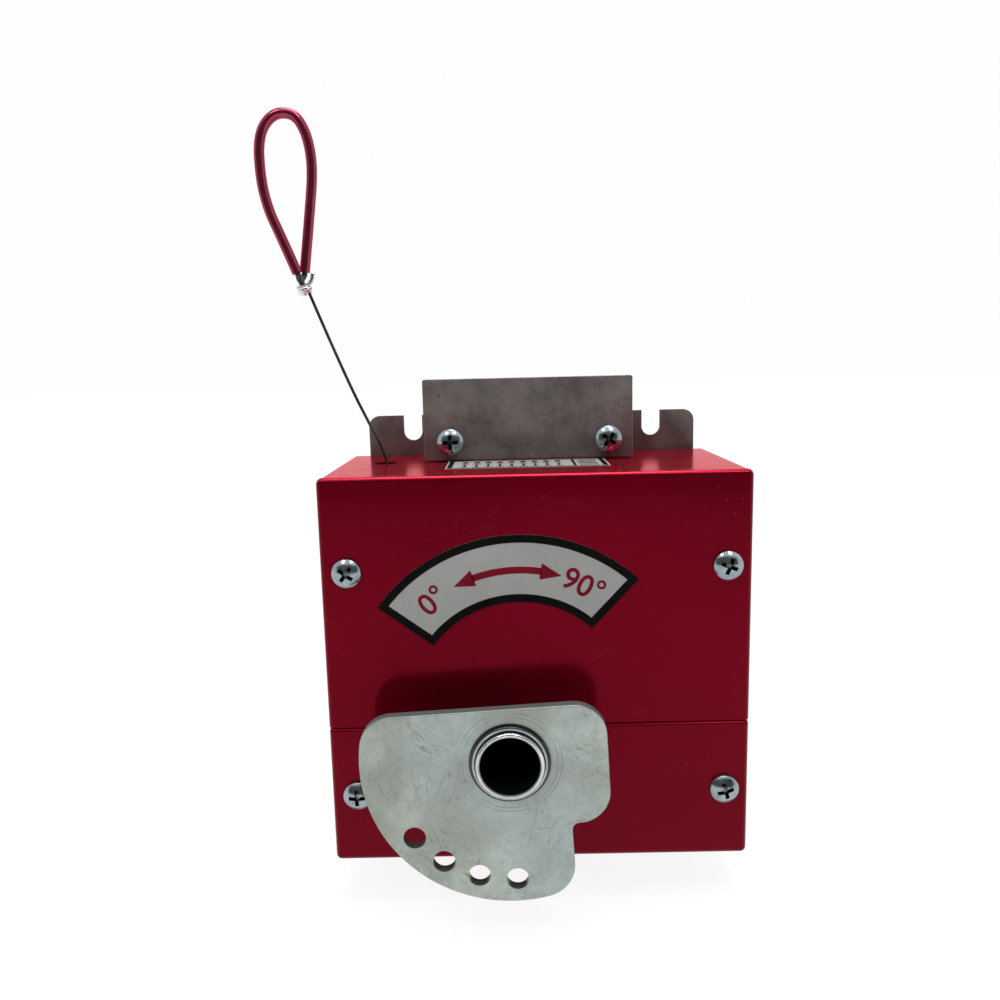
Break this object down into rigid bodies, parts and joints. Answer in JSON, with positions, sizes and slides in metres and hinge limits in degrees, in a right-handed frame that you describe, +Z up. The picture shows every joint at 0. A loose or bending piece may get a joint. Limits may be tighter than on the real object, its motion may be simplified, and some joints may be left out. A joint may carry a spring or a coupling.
{
  "type": "fire damper release box",
  "caption": "Folded steel release box with a hollow output shaft, a sector plate with link holes, rear mounting ears and a pull wire ending in a sleeved loop.",
  "frame": {"origin": "on the output shaft axis, in the plane of the wall that the ears rest on", "axes": "+X right seen from the front, +Y along the output shaft towards the wall, +Z up"},
  "size_m": [0.1362, 0.0772, 0.2253],
  "materials": {
    "red_enamel": "gloss red stove enamel",
    "galvanised_sheet": "satin galvanised sheet",
    "zinc_plate": "mottled bright zinc plating",
    "bright_screw": "bright zinc",
    "machined_steel": "turned steel",
    "spring_steel": "oiled spring steel",
    "bronze": "sintered bronze",
    "label_film": "printed vinyl label",
    "wire_rope": "dark stranded steel wire",
    "knot_wire": "bright twisted wire",
    "red_sleeve": "red PVC sleeve",
    "coil_tape": "yellow insulating tape",
    "black_moulding": "black moulding",
    "black_rubber": "black rubber",
    "grey_moulding": "grey moulding",
    "brass_contacts": "tinned brass"
  },
  "bodies": {
    "housing": {"arc_label": "label_film", "bracket_plate": "galvanised_sheet", "bracket_screws": "bright_screw", "bridge_front_screws": "bright_screw", "bridge_plate": "galvanised_sheet", "bridge_rear_screws": "bright_screw", "bridge_spacers": "machined_steel", "cable_grommet": "black_rubber", "chassis": "galvanised_sheet", "cover_pillars": "machined_steel", "cover_screws": "bright_screw", "fired_switch": "black_moulding", "front_bush": "bronze", "latch_pivot_pin": "machined_steel", "latch_spring": "spring_steel", "lower_cover": "red_enamel", "pillar_screws": "bright_screw", "pivot_clip": "spring_steel", "rear_bush": "bronze", "reset_switch": "black_moulding", "return_spring": "spring_steel", "solenoid_coil": "coil_tape", "solenoid_frame": "galvanised_sheet", "solenoid_screws": "bright_screw", "stop_pin": "machined_steel", "strip_label": "label_film", "switch_screws": "bright_screw", "switch_terminals": "brass_contacts", "terminal_block": "grey_moulding", "terminal_screws": "brass_contacts", "thrust_washer": "machined_steel", "upper_cover": "red_enamel"},
    "output": {"output_shaft": "machined_steel", "sector_plate": "zinc_plate", "sector_boss": "zinc_plate", "hub_collar": "machined_steel", "latch_disc": "zinc_plate", "disc_spring_pin": "machined_steel", "shaft_circlip": "spring_steel"},
    "latch": {"latch_lever": "zinc_plate"},
    "pull": {"pull_wire": "wire_rope", "wire_ferrule": "machined_steel", "wire_knot": "knot_wire", "loop_sleeve": "red_sleeve"},
    "plunger": {"solenoid_plunger": "machined_steel", "plunger_foot": "black_moulding"},
    "reset_lever": {"reset_switch_lever": "spring_steel"},
    "fired_lever": {"fired_switch_lever": "spring_steel"}
  },
  "joints": [
    {"name": "output_turn", "type": "hinge", "parent": "housing", "child": "output", "pos_m": [0, 0, 0], "axis": [0, 1, 0], "range_deg": [0, 90], "deforming": ["return_spring"]},
    {"name": "wire_pull", "type": "slide", "parent": "housing", "child": "pull", "axis": [0, 0, 1], "range_m": [0, 0.007]},
    {"name": "latch_swing", "type": "hinge", "parent": "housing", "child": "latch", "pos_m": [0.003, -0.028, 0.031], "axis": [0, 1, 0], "range_deg": [0, 10.6], "deforming": ["latch_spring"]},
    {"name": "plunger_slide", "type": "slide", "parent": "housing", "child": "plunger", "axis": [0, 0, -1], "range_m": [0, 0.0032]},
    {"name": "reset_switch_swing", "type": "hinge", "parent": "housing", "child": "reset_lever", "pos_m": [0.0268, -0.0285, -0.013], "axis": [0, 1, 0], "range_deg": [-8.1, 0]},
    {"name": "fired_switch_swing", "type": "hinge", "parent": "housing", "child": "fired_lever", "pos_m": [-0.0268, -0.0285, 0.013], "axis": [0, 1, 0], "range_deg": [0, 8.1]}
  ],
  "couplings": [
    {"joint": "latch_swing", "follows": "wire_pull", "rad_per_m": 26.178},
    {"joint": "plunger_slide", "follows": "wire_pull", "ratio": 0.44503},
    {"joint": "reset_switch_swing", "follows": "output_turn", "ratio": -0.088889},
    {"joint": "fired_switch_swing", "follows": "output_turn", "ratio": 0.088889}
  ]
}
